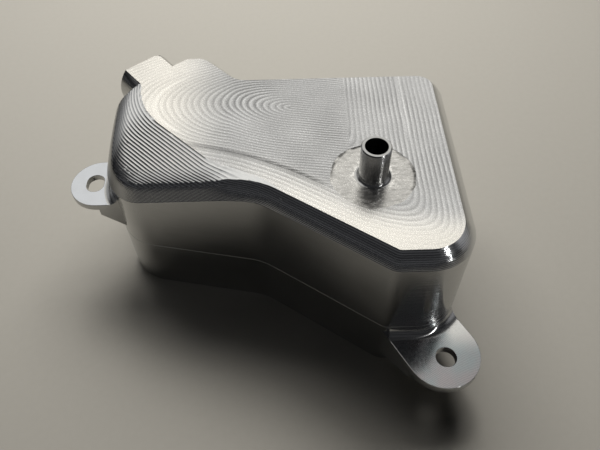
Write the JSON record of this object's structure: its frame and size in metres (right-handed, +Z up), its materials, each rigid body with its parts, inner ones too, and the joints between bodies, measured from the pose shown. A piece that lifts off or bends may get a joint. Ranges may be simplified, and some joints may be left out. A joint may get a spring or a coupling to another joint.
{
  "type": "coolant expansion tank",
  "caption": "Machined aluminium coolant expansion tank: hollow body with bevelled rim, roof spigot, side port boss, fixing ears and a bottom cover",
  "frame": {"origin": "middle of the whole part in plan, on the plane it rests on", "axes": "+Z up; +X to the right along the long straight back wall; +Y from the front to the back wall"},
  "size_m": [0.1346, 0.1156, 0.071],
  "materials": {
    "body": "milled, with fine tool marks",
    "cover": "milled",
    "gasket": "matte",
    "screws": "plain"
  },
  "bodies": {
    "root": {"tank_body": "body", "bottom_cover": "cover", "cover_gasket": "gasket", "cover_screws": "screws"}
  },
  "joints": []
}
